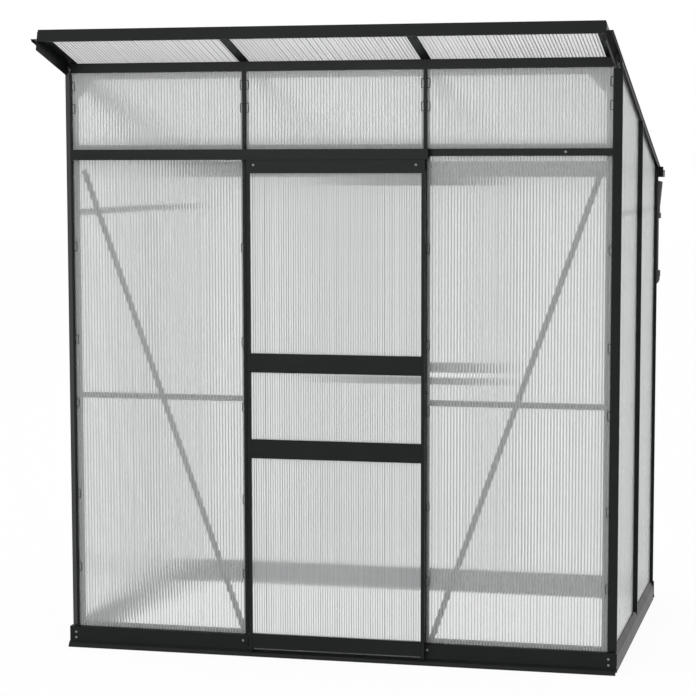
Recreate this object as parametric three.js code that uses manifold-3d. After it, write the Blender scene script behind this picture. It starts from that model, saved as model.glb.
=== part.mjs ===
// A small free-standing greenhouse with a pent roof: high at the front, low at the back.
// Black aluminium bars hold twin-wall panes, and a door slides across the left front bay.
// Lengths are in millimetres. X runs to the right, Y to the back and Z up.
// The origin lies on the ground, under the middle of the front sill's foot.

import * as THREE from "three";
import { mergeVertices } from "three/addons/utils/BufferGeometryUtils.js";
import Module from "manifold-3d";

const wasm = await Module();
wasm.setup();

// The house: outer faces of the walls, and the roof line along the outer edge of a rafter.
const halfWidth = 968;
const wallDepth = 1292;
const doorBarCentre = 314.8;
const doorBarShift = -2;
const frontRoofHeight = 2042.8;
const roofPitch = THREE.MathUtils.degToRad(14.886);
const frontOverhang = 285.6;
const rearOverhang = 68;

// Sheet, metal and fits.
const wall = 2;
const paneThick = 4;
const seat = 0.3;
const slideGap = 2;
const runningGap = 0.1;
const overrun = 1;

// Glazing bar: an outer cap, a web between two panes and an inner flange.
const capWidth = 11;
const capDeep = 12;
const webWidth = 4;
const flangeWidth = 30;
const roofFlangeWidth = 35;
const sideCapProud = 4;

// Depths behind a wall's outer face, worked out from the bar.
const paneFront = capDeep + seat;
const paneBack = paneFront + paneThick;
const flangeFront = paneBack + seat;
const flangeBack = flangeFront + wall;
const linerFront = flangeBack + seat;
const linerBack = linerFront + wall;

// Corner post.
const postChamfer = 24;
const postStrip = 5;
const postWeb = 25;
const postFlange = 51;
const postStep = 4;

// Sills.
const sillProud = 6;
const sillFace = 48;
const sillWaist = 22.5;
const sillLedge = 1.5;
const skirtReach = 20;
const skirtKnee = 13;
const skirtKneeHeight = 13;
const upstand = 16;
const footReach = 15.1;
const sillEndLap = 1.5;
const footCut = 68;
const sideSillInset = -1;
const sideSillShoulder = 19;
const sideLipRise = 7;

// Head members.
const frontEaveHeight = 32.5;
const backEaveHeight = 52;
const eaveRoof = 8;
const frontEaveDrop = 22.5;
const backEaveDrop = 2.5;
const paneBite = 8;
const transomDrop = 314.3;
const transomHeight = 24.7;
const transomPlate = 3;
const transomWeb = 11.5;

// Gutter trough on the back eave bar.
const gutterOverrun = 17;
const gutterReach = 72;
const gutterDrop = 49.4;
const gutterGap = 0.9;
const gutterInner = 40;
const gutterKey = 1;

// Rafter and fascia.
const rafterProud = 2.8;
const rafterLip = 21.8;
const outerWebInset = 3;
const outerWebDrop = 15;
const overhangWebDrop = 8;
const innerWebDrop = 38;
const seatLift = 6.7;
const rafterSeat = 56.5;
const fasciaGap = 0.5;
const fasciaDrop = 9;
const fasciaRise = 4;
const fasciaLip = 16;
const rafterFoot = 8.2;
const sidePaneInset = 4;
const roofPaneRear = 43;

// Rails, braces and gussets on the inside.
const railDeep = 4;
const lowRailBottom = 887;
const lowRailHeight = 20;
const sideRailDrop = 175.4;
const sideRailHeight = 22;
const windowBottom = 829;
const windowTop = 1651;
const windowHeadHeight = 34;
const windowFootHeight = 28;
const windowSlit = 20;
const windowBarHeight = 40;
const railWall = 1.2;
const braceWidth = 19.5;
const braceTopInset = 65;
const braceTopDrop = 45.5;
const braceFootInset = 19;
const braceFootRise = 11;
const gussetWide = 127;
const gussetTall = 140;
const gussetTop = 18;

// Door track and rollers.
const trackInset = 36;
const trackOverrun = 15.2;
const trackHeight = 36.1;
const trackLipRise = 4.9;
const beadHeight = 3;
const rollerRadius = 10;
const rollerWide = 6.5;
const rollerClear = 0.6;
const axleRadius = 3;
const rollerInset = 28;
const lugWide = 22;
const lugDeep = 3;
const lugTop = 9;

// Door.
const doorInset = 4.8;
const doorShift = 9;
const doorDeep = 18;
const doorBack = 12;
const stileWidth = 12;
const stileClear = 0.5;
const slotFront = 4;
const slotDeep = 8;
const headHeight = 47;
const doorBarHeight = 65.5;
const upperBarBottom = 993;
const lowerBarBottom = 696.5;
const bottomRailClear = 9.4;
const bottomRailHeight = 51;

// Downpipe under the gutter's right end.
const pipeInset = 37.5;
const pipeClear = 3;
const pipeRadius = 20;
const pipeWall = 2;
const neckRadius = 16;
const neckDrop = 14;
const funnelRadius = 33;
const funnelShoulder = 4;
const funnelHeight = 97;
const funnelWaistRadius = 24;
const collarRadius = 28;
const waistHeight = 23;
const collarHeight = 21;
const pipeRun = 201;
const shoeCollarHeight = 23;
const shoeHeelDrop = 9;
const shoeHeelRadius = 26;
const shoeSpoutRadius = 19;
const shoeSpoutReach = 45;
const pipeLap = 18;
const pipeSides = 24;

// Widths, heights and lines that follow from the sizes above.
const gutterHalf = halfWidth + gutterOverrun;
const rafterHalf = halfWidth + rafterProud;
const fasciaHalf = rafterHalf - rafterLip - wall - fasciaGap;
const trackLeft = trackInset - halfWidth;
const trackRight = doorBarCentre + trackOverrun;
const doorHalf = doorBarCentre - doorInset;
const rollerSpan = doorHalf - rollerInset;
const slope = Math.tan(roofPitch);
const steep = Math.cos(roofPitch);
const roofLine = (y) => frontRoofHeight - slope * y;
const bearing = (y) => roofLine(y) + seatLift / steep - seat;
const lipUnder = (y) => roofLine(y) - wall / steep - seat;
const pipeOffset = funnelRadius + pipeClear;
const sillTop = sillWaist + sillFace + sillLedge;
const sideSillFace = sillTop - sideSillShoulder;
const sideLipTop = sillTop + sideLipRise;
const footing = sillTop + seat;
const frontEaveBottom = bearing(0) - frontEaveHeight;
const backEaveBottom = bearing(wallDepth) - backEaveHeight;
const gutterBottom = roofLine(wallDepth) - gutterDrop;
const gutterLip = lipUnder(wallDepth + gutterReach) - gutterGap - gutterBottom;
const transomBottom = frontRoofHeight - transomDrop;
const transomTop = transomBottom + transomHeight;
const transomSeam = transomBottom + transomWeb;
const capHalf = capWidth / 2;
const webEdge = webWidth / 2 + seat;
const footCentre = (linerFront + linerBack + footReach) / 2;
const sideRailBottom = roofLine(wallDepth) - sideRailDrop;
const trackTop = transomTop;
const trackBottom = trackTop - trackHeight;
const trackRear = seat + transomPlate + seat;
const trackFront = doorBack + doorDeep + slideGap + wall;
const rollerBack = trackRear + wall + rollerClear;
const beadFront = rollerBack + rollerWide + seat + wall;
const headTop = trackBottom + slideGap;
const headBottom = headTop - headHeight;
const roofCapTop = seatLift + flangeBack;
const axleHeight = trackBottom + trackLipRise + wall + seat + rollerRadius;

const black = new THREE.MeshStandardMaterial({
  name: "black_aluminium",
  color: 0x2a2c2c,
  roughness: 0.45,
  metalness: 0.6,
});
const sheet = new THREE.MeshStandardMaterial({
  name: "twin_wall_sheet",
  color: 0xdde1df,
  roughness: 0.3,
  metalness: 0,
  transparent: true,
  opacity: 0.45,
});
const nylon = new THREE.MeshStandardMaterial({
  name: "roller_nylon",
  color: 0x55585a,
  roughness: 0.5,
  metalness: 0,
});
const plastic = new THREE.MeshStandardMaterial({
  name: "downpipe_plastic",
  color: 0x2e3030,
  roughness: 0.5,
  metalness: 0,
});

const alongX = new THREE.Vector3(1, 0, 0);
const alongY = new THREE.Vector3(0, 1, 0);
const alongZ = new THREE.Vector3(0, 0, 1);

const house = new THREE.Group();
house.position.y = -footCentre;

// One named piece, added to the group that places it.
function piece(group, name, material, geometry) {
  const mesh = new THREE.Mesh(geometry, material);
  mesh.name = name;
  group.add(mesh);
  return mesh;
}

// A group turned about the vertical, with its own Y pointing into the house.
function wallGroup(quarterTurns, x, y) {
  const group = new THREE.Group();
  group.rotation.z = (quarterTurns * Math.PI) / 2;
  group.position.set(x, y, 0);
  house.add(group);
  return group;
}

// A straight profile. Its outline lies in the plane of two axes, and it runs along the third.
function profile(outline, holes, across, up, from, to) {
  const points = outline.map(([a, b]) => new THREE.Vector2(a, b));
  if (THREE.ShapeUtils.isClockWise(points)) {
    points.reverse();
  }
  const shape = new THREE.Shape(points);
  shape.holes = holes.map((hole) => new THREE.Path(hole.map(([a, b]) => new THREE.Vector2(a, b))));
  const along = new THREE.Vector3().crossVectors(across, up);
  const forward = along.x + along.y + along.z > 0;
  const geometry = new THREE.ExtrudeGeometry(shape, { depth: to - from, bevelEnabled: false });
  const start = along.clone().multiplyScalar(forward ? from : -to);
  return geometry.applyMatrix4(new THREE.Matrix4().makeBasis(across, up, along).setPosition(start));
}

const rectangle = (a0, b0, a1, b1) => [
  [a0, b0],
  [a1, b0],
  [a1, b1],
  [a0, b1],
];

// A block between two corners.
function block(x0, y0, z0, x1, y1, z1) {
  return profile(rectangle(x0, y0, x1, y1), [], alongX, alongY, z0, z1);
}

function toSolid(geometry) {
  const bare = geometry.index ? geometry.toNonIndexed() : geometry.clone();
  bare.deleteAttribute("normal");
  bare.deleteAttribute("uv");
  const merged = mergeVertices(bare);
  return new wasm.Manifold(
    new wasm.Mesh({
      numProp: 3,
      vertProperties: new Float32Array(merged.attributes.position.array),
      triVerts: new Uint32Array(merged.index.array),
    })
  );
}

function toGeometry(solid) {
  const mesh = solid.getMesh();
  const indexed = new THREE.BufferGeometry();
  indexed.setAttribute("position", new THREE.BufferAttribute(mesh.vertProperties, mesh.numProp));
  indexed.setIndex(new THREE.BufferAttribute(mesh.triVerts, 1));
  const flat = indexed.toNonIndexed();
  flat.computeVertexNormals();
  return flat;
}

const cut = (geometry, tools) =>
  toGeometry(tools.reduce((solid, tool) => solid.subtract(toSolid(tool)), toSolid(geometry)));
const join = (geometry, others) =>
  toGeometry(others.reduce((solid, other) => solid.add(toSolid(other)), toSolid(geometry)));

const frontWall = wallGroup(0, 0, 0);
const rightWall = wallGroup(1, halfWidth, wallDepth / 2);
const backWall = wallGroup(2, 0, wallDepth);
const leftWall = wallGroup(3, -halfWidth, wallDepth / 2);
const roof = new THREE.Group();
roof.position.z = frontRoofHeight;
roof.rotation.x = -roofPitch;
house.add(roof);

// Sills. Front and back have a flared skirt, the sides a sloping shoulder.

function skirtedOutline() {
  const face = -sillProud;
  const inner = linerFront;
  return [
    [face - skirtReach, 0],
    [face - skirtKnee, skirtKneeHeight],
    [face, sillWaist],
    [face, sillWaist + sillFace],
    [0, sillTop],
    [inner, sillTop],
    [inner, sillTop + upstand],
    [linerBack, sillTop + upstand],
    [linerBack, wall],
    [linerBack + footReach, wall],
    [linerBack + footReach, 0],
    [inner, 0],
    [inner, sillWaist - wall],
    [face, sillWaist - wall],
    [face - skirtKnee + wall, skirtKneeHeight - wall],
    [face - skirtReach + wall, 0],
  ];
}

// The skirted sill is cut at both ends so that the posts and the side sills fit round it.
function skirtedSill(extraCuts) {
  const half = halfWidth + sillEndLap;
  const hollowTop = sillWaist + sillFace - wall;
  const hollow = rectangle(-sillProud + wall, sillWaist + sillLedge, linerFront, hollowTop);
  const whole = profile(skirtedOutline(), [hollow], alongY, alongZ, -half, half);
  const top = sillTop + upstand + overrun;
  const deep = linerBack + footReach + overrun;
  const upstandEnd = halfWidth - flangeBack - seat;
  const cuts = [];
  const footEnd = halfWidth - footCut;
  for (const side of [-1, 1]) {
    const reach = (inner) => [side * inner, side * (half + overrun)].sort((a, b) => a - b);
    const [left, right] = reach(upstandEnd);
    cuts.push(block(left, linerFront - seat, sillTop, right, deep, top));
    const [footLeft, footRight] = reach(footEnd);
    cuts.push(block(footLeft, linerBack, -overrun, footRight, deep, wall + overrun));
  }
  return cut(whole, [...cuts, ...extraCuts]);
}

// The doorway keeps only the lower web of the sill as its threshold.
function doorwayNotch() {
  const half = doorBarCentre - capHalf - seat;
  const top = sillTop + upstand + overrun;
  const [left, right] = [doorBarShift - half, doorBarShift + half];
  return block(left, -sillProud - overrun, sillWaist, right, linerBack + overrun, top);
}

function sideSillOutline() {
  const shoulder = capDeep;
  const inner = linerFront;
  return [
    [sideSillInset, 0],
    [sideSillInset, sideSillFace],
    [shoulder - wall, sideLipTop],
    [shoulder, sideLipTop],
    [shoulder, sillTop],
    [inner, sillTop],
    [inner, sillTop + upstand],
    [linerBack, sillTop + upstand],
    [linerBack, wall],
    [linerBack + footReach, wall],
    [linerBack + footReach, 0],
    [inner, 0],
    [inner, sillTop - wall],
    [shoulder + wall, sillTop - wall],
    [sideSillInset + wall, sideSillFace],
    [sideSillInset + wall, 0],
  ];
}

// The lip in front of the panes ends at the posts.
function sideSill() {
  const half = wallDepth / 2 - linerBack - seat;
  const lipHalf = wallDepth / 2 - postChamfer - postStrip - seat;
  const whole = profile(sideSillOutline(), [], alongY, alongZ, -half, half);
  const ends = [
    [-half - overrun, -lipHalf],
    [lipHalf, half + overrun],
  ];
  return cut(
    whole,
    ends.map(([from, to]) => block(from, -overrun, sillTop, to, linerFront - seat / 2, sideLipTop + overrun))
  );
}

piece(frontWall, "front_sill", black, skirtedSill([doorwayNotch()]));
piece(backWall, "back_sill", black, skirtedSill([]));
piece(leftWall, "left_sill", black, sideSill());
piece(rightWall, "right_sill", black, sideSill());

// Corner posts: a hollow chamfered corner with a seat flange along each wall.

function postOutline() {
  const half = [
    [postChamfer, 0],
    [postChamfer + postStrip, 0],
    [postChamfer + postStrip, capDeep],
    [postWeb, capDeep],
    [postWeb, flangeFront],
    [postFlange, flangeFront],
    [postFlange, flangeBack],
  ];
  const mirrored = half.map(([a, b]) => [b, a]).reverse();
  return [...half, [flangeBack, flangeBack], ...mirrored];
}

function postHollow() {
  const bevel = postChamfer + wall * (Math.SQRT2 - 1);
  const half = [
    [bevel, wall],
    [postChamfer + postStrip - wall, wall],
    [postChamfer + postStrip - wall, capDeep - wall],
    [postWeb - wall, capDeep - wall],
    [postWeb - wall, flangeFront],
  ];
  const mirrored = half.map(([a, b]) => [b, a]).reverse();
  return [...half, [flangeFront, flangeFront], ...mirrored];
}

// The post stops below the roof, and one leaf of it runs on up into the rafter's channel.
function cornerPost(quarterTurns, x, y, name, top, leafTop, leafAlongFirst) {
  const group = wallGroup(quarterTurns, x, y);
  const body = profile(postOutline(), [postHollow()], alongX, alongY, footing, top);
  const near = [flangeFront, flangeBack];
  const far = [flangeBack, postFlange];
  const [a, b] = leafAlongFirst ? [far, near] : [near, far];
  const leaf = block(a[0], b[0], top - overrun, a[1], b[1], leafTop);
  piece(group, name, black, join(body, [leaf]));
}

const frontPostTop = frontEaveBottom - postStep;
const backPostTop = roofLine(wallDepth) - outerWebDrop / steep - seat;
const frontLeafTop = lipUnder(postFlange);
const backLeafTop = lipUnder(wallDepth - flangeBack);
cornerPost(0, -halfWidth, 0, "front_left_post", frontPostTop, frontLeafTop, false);
cornerPost(1, halfWidth, 0, "front_right_post", frontPostTop, frontLeafTop, true);
cornerPost(2, halfWidth, wallDepth, "back_right_post", backPostTop, backLeafTop, false);
cornerPost(3, -halfWidth, wallDepth, "back_left_post", backPostTop, backLeafTop, true);

// Glazing bars. Their outline starts at the outer face of the cap.

function barOutline(proud, flange) {
  return [
    [-capHalf, -proud],
    [capHalf, -proud],
    [capHalf, capDeep],
    [webWidth / 2, capDeep],
    [webWidth / 2, flangeFront],
    [flange / 2, flangeFront],
    [flange / 2, flangeBack],
    [-flange / 2, flangeBack],
    [-flange / 2, flangeFront],
    [-webWidth / 2, flangeFront],
    [-webWidth / 2, capDeep],
    [-capHalf, capDeep],
  ];
}

const barHollow = (proud) => rectangle(-capHalf + wall, wall - proud, capHalf - wall, capDeep - wall);

function wallBar(group, name, place, proud, top) {
  const bar = profile(barOutline(proud, flangeWidth), [barHollow(proud)], alongX, alongY, footing, top);
  bar.translate(place, 0, 0);
  return piece(group, name, black, bar);
}

const sideBarTop = roofLine(wallDepth / 2 + capHalf) - outerWebDrop / steep - seat;
wallBar(frontWall, "front_left_bar", doorBarShift - doorBarCentre, 0, frontEaveBottom - seat);
wallBar(frontWall, "front_right_bar", doorBarShift + doorBarCentre, 0, frontEaveBottom - seat);
wallBar(backWall, "back_right_bar", -doorBarCentre, 0, backEaveBottom - seat);
wallBar(backWall, "back_left_bar", doorBarCentre, 0, backEaveBottom - seat);

// A side bar's cap stands proud of the wall, and its back is let out over the sill's lip.
for (const [group, name] of [
  [leftWall, "left_side_bar"],
  [rightWall, "right_side_bar"],
]) {
  const bar = wallBar(group, name, 0, sideCapProud, sideBarTop);
  const cap = capHalf + seat;
  const notch = block(-cap, sideSillInset + wall, footing - overrun, cap, capDeep + seat, sideLipTop + seat);
  bar.geometry = cut(bar.geometry, [notch]);
}

// Eave bars: a hollow face, a roof web over the pane's top edge and a flange that hangs behind the pane.

const headHalf = halfWidth - postChamfer - postStrip - seat;

function eaveOutline(face, bottom, drop, topAt) {
  return [
    [face, bottom],
    [capDeep, bottom],
    [capDeep, topAt(capDeep) - eaveRoof],
    [linerFront, topAt(linerFront) - eaveRoof],
    [linerFront, bottom - drop],
    [linerBack, bottom - drop],
    [linerBack, topAt(linerBack)],
    [face, topAt(face)],
  ];
}

function eaveHollow(bottom, topAt) {
  return [
    [wall, bottom + wall],
    [capDeep - wall, bottom + wall],
    [capDeep - wall, topAt(capDeep - wall) - wall],
    [wall, topAt(wall) - wall],
  ];
}

function frontEave() {
  return profile(
    eaveOutline(0, frontEaveBottom, frontEaveDrop, bearing),
    [eaveHollow(frontEaveBottom, bearing)],
    alongY,
    alongZ,
    -headHalf,
    headHalf
  );
}

// The back eave bar carries the gutter trough, closed at both ends, with an outlet over the downpipe.
function gutterEave() {
  const topAt = (depth) => bearing(wallDepth - depth);
  const bar = profile(
    eaveOutline(-gutterKey, backEaveBottom, backEaveDrop, topAt),
    [eaveHollow(backEaveBottom, topAt)],
    alongY,
    alongZ,
    -headHalf,
    headHalf
  );
  const trough = profile(
    [
      [-seat, gutterBottom + gutterInner],
      [-seat - wall, gutterBottom + gutterInner],
      [-seat - wall, gutterBottom + wall],
      [-gutterReach + wall, gutterBottom + wall],
      [-gutterReach + wall, gutterBottom + gutterLip],
      [-gutterReach, gutterBottom + gutterLip],
      [-gutterReach, gutterBottom],
      [-seat, gutterBottom],
    ],
    [],
    alongY,
    alongZ,
    -gutterHalf,
    gutterHalf
  );
  const ends = [-gutterHalf, gutterHalf - wall].map((place) =>
    block(place, -gutterReach, gutterBottom, place + wall, -seat, gutterBottom + gutterLip)
  );
  const bore = neckRadius - pipeWall;
  const outlet = new THREE.CylinderGeometry(bore, bore, gutterLip, pipeSides);
  outlet.rotateX(Math.PI / 2);
  outlet.translate(pipeInset - gutterHalf, -pipeOffset, gutterBottom);
  return cut(join(bar, [trough, ...ends]), [outlet]);
}

piece(frontWall, "front_eave", black, frontEave());
piece(backWall, "gutter_eave", black, gutterEave());

// Roof: rafters, roof bars and fascia, drawn in the plane of the slope.

const roofFront = -frontOverhang / steep;
const roofRear = (wallDepth + rearOverhang) / steep;

function rafterOutline() {
  const edge = outerWebInset;
  const rib = rafterLip;
  const foot = rib + rafterFoot;
  return [
    [0, -wall],
    [edge, -wall],
    [edge, -outerWebDrop],
    [edge + wall, -outerWebDrop],
    [edge + wall, -wall],
    [rib, -wall],
    [rib, -innerWebDrop],
    [rib + wall, -innerWebDrop],
    [rib + wall, seatLift],
    [rafterSeat, seatLift],
    [rafterSeat, seatLift + wall],
    [foot, seatLift + wall],
    [foot, roofCapTop - capDeep],
    [rib + capWidth, roofCapTop - capDeep],
    [rib + capWidth, roofCapTop],
    [rib, roofCapTop],
    [rib, 0],
    [0, 0],
  ];
}

function rafterHollow() {
  const rib = rafterLip;
  const foot = rib + rafterFoot;
  return [
    [rib + wall, seatLift + wall],
    [foot - wall, seatLift + wall],
    [foot - wall, roofCapTop - capDeep + wall],
    [rib + capWidth - wall, roofCapTop - capDeep + wall],
    [rib + capWidth - wall, roofCapTop - wall],
    [rib + wall, roofCapTop - wall],
  ];
}

// In front of the wall the outer web is trimmed to a narrow lip.
function overhangCut(side) {
  const outer = side * (rafterHalf + overrun);
  const inner = side * (rafterHalf - rafterLip + seat);
  const [left, right] = [outer, inner].sort((a, b) => a - b);
  return block(left, roofFront - overrun, -outerWebDrop - overrun, right, -seat / steep, -overhangWebDrop);
}

// The inner web is let out round each post, and both webs end where the gutter begins.
function rafter(side) {
  const place = (outline) => outline.map(([a, b]) => [side * (rafterHalf - a), b]);
  const outline = place(rafterOutline());
  const whole = profile(outline, [place(rafterHollow())], alongX, alongZ, roofFront, roofRear);
  const gap = postFlange + overrun;
  const slot = (from, to, outer, inner, drop) => {
    const [left, right] = [outer, inner].map((inset) => side * (rafterHalf - inset)).sort((a, b) => a - b);
    return block(left, from, -drop - overrun, right, to, -wall - seat);
  };
  const web = [rafterLip - seat, rafterLip + wall + seat];
  return cut(whole, [
    slot(-overrun / steep, gap / steep, ...web, innerWebDrop),
    slot((wallDepth - gap) / steep, roofRear + overrun, ...web, innerWebDrop),
    slot((wallDepth - seat) / steep, roofRear + overrun, 0, rafterLip - seat, outerWebDrop),
    overhangCut(side),
  ]);
}

function roofBar(place) {
  const outline = barOutline(0, roofFlangeWidth).map(([a, b]) => [a + place, roofCapTop - b]);
  const hollow = barHollow(0).map(([a, b]) => [a + place, roofCapTop - b]);
  return profile(outline, [hollow], alongX, alongZ, roofFront, roofRear - roofPaneRear / 2);
}

function fascia() {
  const back = roofFront - seat;
  const top = roofCapTop + fasciaRise + wall;
  const outline = [
    [back - wall, -fasciaDrop],
    [back + fasciaLip / 2, -fasciaDrop],
    [back + fasciaLip / 2, -fasciaDrop + wall],
    [back, -fasciaDrop + wall],
    [back, top - wall],
    [back + fasciaLip, top - wall],
    [back + fasciaLip, top],
    [back - wall, top],
  ];
  return profile(outline, [], alongY, alongZ, -fasciaHalf, fasciaHalf);
}

piece(roof, "left_rafter", black, rafter(-1));
piece(roof, "right_rafter", black, rafter(1));
piece(roof, "left_roof_bar", black, roofBar(-doorBarCentre));
piece(roof, "right_roof_bar", black, roofBar(doorBarCentre));
piece(roof, "fascia", black, fascia());

// Cross bar over the doorway: its plate passes in front of the bars and its flange behind them.
function crossBar() {
  const front = -seat - transomPlate;
  const outline = [
    [front, transomBottom],
    [-seat, transomBottom],
    [-seat, transomSeam],
    [linerFront, transomSeam],
    [linerFront, transomBottom],
    [linerBack, transomBottom],
    [linerBack, transomTop + upstand],
    [linerFront, transomTop + upstand],
    [linerFront, transomSeam + wall],
    [-seat, transomSeam + wall],
    [-seat, transomTop],
    [front, transomTop],
  ];
  const whole = profile(outline, [], alongY, alongZ, -headHalf, headHalf);
  const half = flangeWidth / 2 + seat;
  const notch = (from, to) => block(from, -seat, transomBottom, to, linerFront - seat / 2, transomTop);
  const postSide = halfWidth - postFlange - seat;
  return cut(whole, [
    notch(doorBarShift - doorBarCentre - half, doorBarShift - doorBarCentre + half),
    notch(doorBarShift + doorBarCentre - half, doorBarShift + doorBarCentre + half),
    notch(-headHalf - overrun, -postSide),
    notch(postSide, headHalf + overrun),
  ]);
}

piece(frontWall, "front_cross_bar", black, crossBar());

// Door track: a hood open at the bottom, with a beaded lip inside that the rollers run on.
function doorTrack() {
  const front = -trackFront;
  const rear = -trackRear;
  const lip = trackBottom + trackLipRise;
  const bead = -beadFront;
  const outline = [
    [front, trackBottom],
    [front + wall, trackBottom],
    [front + wall, trackTop - wall],
    [rear - wall, trackTop - wall],
    [rear - wall, lip + wall],
    [bead + wall, lip + wall],
    [bead + wall, lip + wall + beadHeight],
    [bead, lip + wall + beadHeight],
    [bead, lip],
    [rear, lip],
    [rear, trackTop],
    [front, trackTop],
  ];
  return profile(outline, [], alongY, alongZ, trackLeft, trackRight);
}

piece(frontWall, "door_track", black, doorTrack());

// Rails: shallow channels on the inside of the bars.
function rail(from, to, bottom, height) {
  const outline = [
    [linerFront, bottom],
    [linerFront + railDeep, bottom],
    [linerFront + railDeep, bottom + railWall],
    [linerFront + railWall, bottom + railWall],
    [linerFront + railWall, bottom + height - railWall],
    [linerFront + railDeep, bottom + height - railWall],
    [linerFront + railDeep, bottom + height],
    [linerFront, bottom + height],
  ];
  return profile(outline, [], alongY, alongZ, from, to);
}

const railEnd = halfWidth - linerFront;
const railInner = doorBarCentre - flangeWidth / 2;
const sideRailEnd = wallDepth / 2 - linerFront;
const leftRail = rail(-railEnd, doorBarShift - railInner, lowRailBottom, lowRailHeight);
const rightRail = rail(doorBarShift + railInner, railEnd, lowRailBottom, lowRailHeight);
piece(frontWall, "front_left_rail", black, leftRail);
piece(frontWall, "front_right_rail", black, rightRail);
piece(leftWall, "left_side_rail", black, rail(-sideRailEnd, sideRailEnd, sideRailBottom, sideRailHeight));
piece(rightWall, "right_side_rail", black, rail(-sideRailEnd, sideRailEnd, sideRailBottom, sideRailHeight));

// The back wall's middle bay holds a window frame of the same channel.
// A narrow slit lets air in under its lower bar.
const slitBottom = windowBottom + windowFootHeight;
const slitTop = slitBottom + windowSlit;

function windowFrame() {
  const half = railInner + flangeWidth;
  const near = linerFront;
  const low = slitTop + windowBarHeight;
  const high = windowTop - windowHeadHeight;
  const layer = (inset, from, to) => {
    const outline = rectangle(-half + inset, windowBottom + inset, half - inset, windowTop - inset);
    const holes = [
      rectangle(-railInner - inset, slitBottom - inset, railInner + inset, slitTop + inset),
      rectangle(-railInner - inset, low - inset, railInner + inset, high + inset),
    ];
    return profile(outline, holes, alongX, alongZ, from, to);
  };
  const plate = layer(0, near, near + railDeep);
  const channel = layer(railWall, near + railWall, near + railDeep + overrun);
  return cut(plate, [channel]);
}

piece(backWall, "back_window_frame", black, windowFrame());

// Diagonal braces: flat bars across the outer front bays, laid on the rails.
function brace(side) {
  const head = new THREE.Vector2(side * (halfWidth - braceTopInset), transomBottom - braceTopDrop);
  const foot = new THREE.Vector2(side * (doorBarCentre + braceFootInset), sillTop + braceFootRise);
  const normal = new THREE.Vector2().subVectors(head, foot).normalize();
  normal.set(-normal.y, normal.x).multiplyScalar(braceWidth / 2);
  const outline = [
    [head.x + normal.x, head.y + normal.y],
    [head.x - normal.x, head.y - normal.y],
    [foot.x - normal.x, foot.y - normal.y],
    [foot.x + normal.x, foot.y + normal.y],
  ];
  const near = linerFront + railDeep + seat;
  return profile(outline, [], alongX, alongZ, near, near + wall);
}

// Gusset plates in the top front corners, behind the short panes.
function gusset(side) {
  const x = side * fasciaHalf;
  const top = frontEaveBottom + gussetTop;
  const outline = [
    [x, top],
    [x - side * gussetWide, top],
    [x, top - gussetTall],
  ];
  return profile(outline, [], alongX, alongZ, linerBack + seat, linerBack + seat + wall);
}

piece(frontWall, "left_brace", black, brace(-1));
piece(frontWall, "right_brace", black, brace(1));
piece(frontWall, "left_gusset", black, gusset(-1));
piece(frontWall, "right_gusset", black, gusset(1));

// Panes. A wall's pane is an outline in the plane of the wall, with holes where it is cut away.
function wallPane(group, name, outline, holes) {
  piece(group, name, sheet, profile(outline, holes, alongX, alongZ, paneFront, paneBack));
}

const postEdge = halfWidth - postWeb - seat;
const bays = [
  [-postEdge, -doorBarCentre - webEdge],
  [-doorBarCentre + webEdge, doorBarCentre - webEdge],
  [doorBarCentre + webEdge, postEdge],
];
const frontBays = [
  [-postEdge, doorBarShift - doorBarCentre - webEdge],
  [doorBarShift - doorBarCentre + webEdge, doorBarShift + doorBarCentre - webEdge],
  [doorBarShift + doorBarCentre + webEdge, postEdge],
];
const bayNames = ["left", "middle", "right"];

frontBays.forEach(([from, to], bay) => {
  const name = bayNames[bay];
  if (name !== "middle") {
    wallPane(frontWall, "pane_front_" + name, rectangle(from, footing, to, transomSeam - seat), []);
  }
  const topPane = rectangle(from, transomSeam + wall + seat, to, frontEaveBottom + paneBite);
  wallPane(frontWall, "pane_top_" + name, topPane, []);
});

bays.forEach(([from, to], bay) => {
  const name = bayNames[bayNames.length - 1 - bay];
  const slit = name === "middle" ? [rectangle(-railInner, slitBottom, railInner, slitTop)] : [];
  wallPane(backWall, "pane_back_" + name, rectangle(from, footing, to, backEaveBottom + paneBite), slit);
});

// Side panes follow the slope. Their places run along the wall from its middle.
function sidePane(group, name, from, to, depthAt) {
  const top = (place) => roofLine(depthAt(place)) - sidePaneInset / steep;
  const outline = [
    [from, footing],
    [to, footing],
    [to, top(to)],
    [from, top(from)],
  ];
  wallPane(group, name, outline, []);
}

const sideEdge = wallDepth / 2 - postWeb - seat;
const rightDepth = (place) => wallDepth / 2 + place;
const leftDepth = (place) => wallDepth / 2 - place;
sidePane(rightWall, "pane_right_front", -sideEdge, -webEdge, rightDepth);
sidePane(rightWall, "pane_right_back", webEdge, sideEdge, rightDepth);
sidePane(leftWall, "pane_left_front", webEdge, sideEdge, leftDepth);
sidePane(leftWall, "pane_left_back", -sideEdge, -webEdge, leftDepth);

// Roof panes lie on the seat flanges of the rafters and roof bars.
const rafterWebEdge = rafterHalf - rafterLip - rafterFoot - seat;
const roofBays = [[-rafterWebEdge, bays[0][1]], bays[1], [bays[2][0], rafterWebEdge]];
roofBays.forEach(([from, to], bay) => {
  const under = seatLift + wall + seat;
  const outline = rectangle(from, under, to, under + paneThick);
  const pane = profile(outline, [], alongX, alongZ, roofFront, roofRear - roofPaneRear);
  piece(roof, "pane_roof_" + bayNames[bay], sheet, pane);
});

// The door hangs in front of the wall. Its group is centred on the door.
const door = new THREE.Group();
door.position.x = doorShift;
frontWall.add(door);
const doorFront = -doorBack - doorDeep;
const slotNear = doorFront + slotFront;
const slotFar = slotNear + paneThick + seat + seat;

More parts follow.
